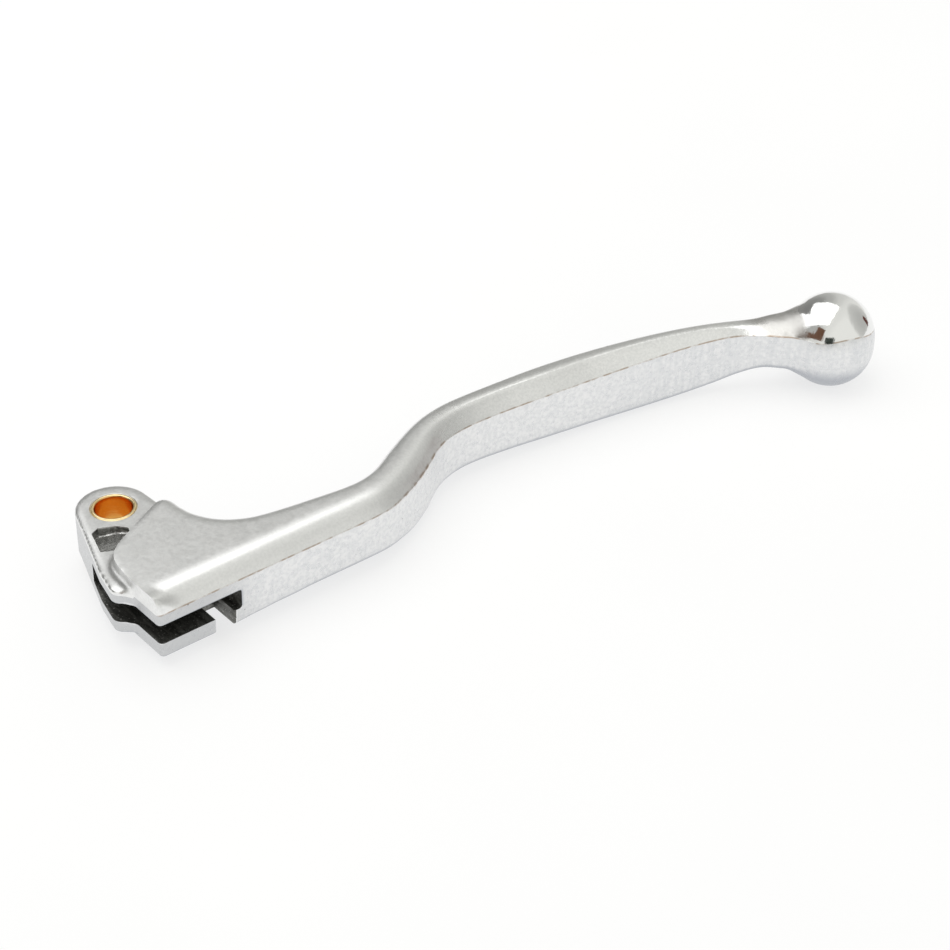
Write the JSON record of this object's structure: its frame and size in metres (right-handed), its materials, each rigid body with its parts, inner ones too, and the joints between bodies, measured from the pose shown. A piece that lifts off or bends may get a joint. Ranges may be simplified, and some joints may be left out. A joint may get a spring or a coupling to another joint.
{
  "type": "motorcycle clutch lever",
  "caption": "Left-hand hand lever with a ball end, a bushed pivot eye and a slotted hub that takes the cable end.",
  "frame": {"origin": "centre of the pivot bore, half way between the eye's two bearing faces", "axes": "+Z along the pivot axis, towards the side of the lever that faces up when it is fitted; +X along the lever towards the ball, parallel to the slotted front face; +Y towards the handlebar side"},
  "size_m": [0.1926, 0.0613, 0.0221],
  "materials": {
    "polished_aluminium": "polished",
    "bronze": "machined"
  },
  "bodies": {
    "lever": {"lever_body": "polished_aluminium"},
    "bush": {"pivot_bush": "bronze"}
  },
  "joints": [
    {"name": "bush_spin", "type": "hinge", "parent": "lever", "child": "bush", "pos_m": [0, 0, 0], "axis": [0, 0, 1], "continuous": true}
  ]
}
